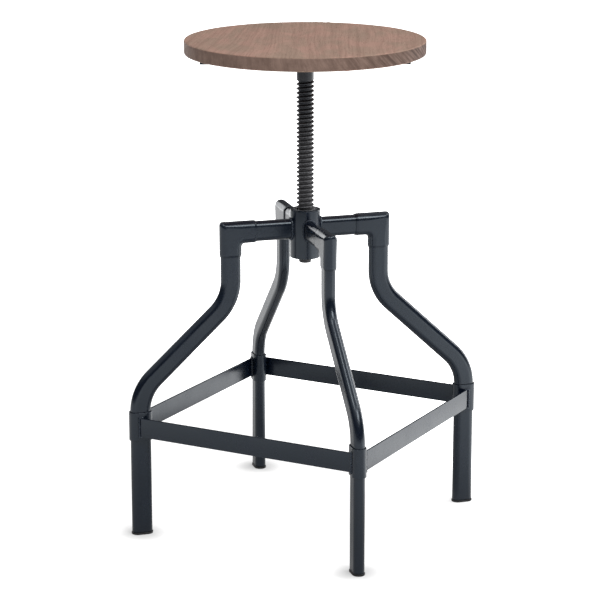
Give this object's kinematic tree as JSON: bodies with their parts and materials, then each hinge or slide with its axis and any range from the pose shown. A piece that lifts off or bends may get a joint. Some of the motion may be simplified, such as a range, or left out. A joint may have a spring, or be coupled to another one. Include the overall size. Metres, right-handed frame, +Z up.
{
  "type": "adjustable swivel stool",
  "caption": "Backless stool: round wooden seat on a screw that winds up and down in a steel hub, bent flat-oval legs, square flat-bar footrest.",
  "frame": {"origin": "on the floor under the middle of the stool, on the axis of the lift screw", "axes": "+Z up along the lift screw; the legs stand on the diagonals between X and Y, so the footrest bars run along X and Y"},
  "size_m": [0.364, 0.364, 0.684],
  "materials": {
    "seat_wood": "grey-brown open grain, matt varnish",
    "frame_coat": "satin charcoal powder coat",
    "screw_steel": "blackened steel, semi-gloss",
    "zinc_screws": "bright zinc plate",
    "foot_plastic": "moulded black plastic"
  },
  "bodies": {
    "base": {"hub": "frame_coat", "hub_nut": "frame_coat", "arm_front_right": "frame_coat", "arm_back_right": "frame_coat", "arm_back_left": "frame_coat", "arm_front_left": "frame_coat", "elbow_front_right": "frame_coat", "elbow_back_right": "frame_coat", "elbow_back_left": "frame_coat", "elbow_front_left": "frame_coat", "leg_front_right": "frame_coat", "leg_back_right": "frame_coat", "leg_back_left": "frame_coat", "leg_front_left": "frame_coat", "collar_front_right": "frame_coat", "collar_back_right": "frame_coat", "collar_back_left": "frame_coat", "collar_front_left": "frame_coat", "footrest_bar_front": "frame_coat", "footrest_bar_right": "frame_coat", "footrest_bar_back": "frame_coat", "footrest_bar_left": "frame_coat", "foot_plug_front_right": "foot_plastic", "foot_plug_back_right": "foot_plastic", "foot_plug_back_left": "foot_plastic", "foot_plug_front_left": "foot_plastic"},
    "neck": {"neck_sleeve": "screw_steel"},
    "seat_assembly": {"seat": "seat_wood", "seat_bracket": "frame_coat", "lift_screw": "screw_steel", "wood_screw_1": "zinc_screws", "wood_screw_2": "zinc_screws", "wood_screw_3": "zinc_screws", "wood_screw_4": "zinc_screws"}
  },
  "joints": [
    {"name": "seat_rise", "type": "slide", "parent": "base", "child": "neck", "axis": [0, 0, 1], "range_m": [-0.177, 0]},
    {"name": "seat_turn", "type": "hinge", "parent": "neck", "child": "seat_assembly", "pos_m": [0, 0, 0.5], "axis": [0, 0, 1], "range_deg": [-10440, 0]}
  ],
  "couplings": [
    {"joint": "seat_rise", "follows": "seat_turn", "m_per_rad": 0.00097085}
  ]
}
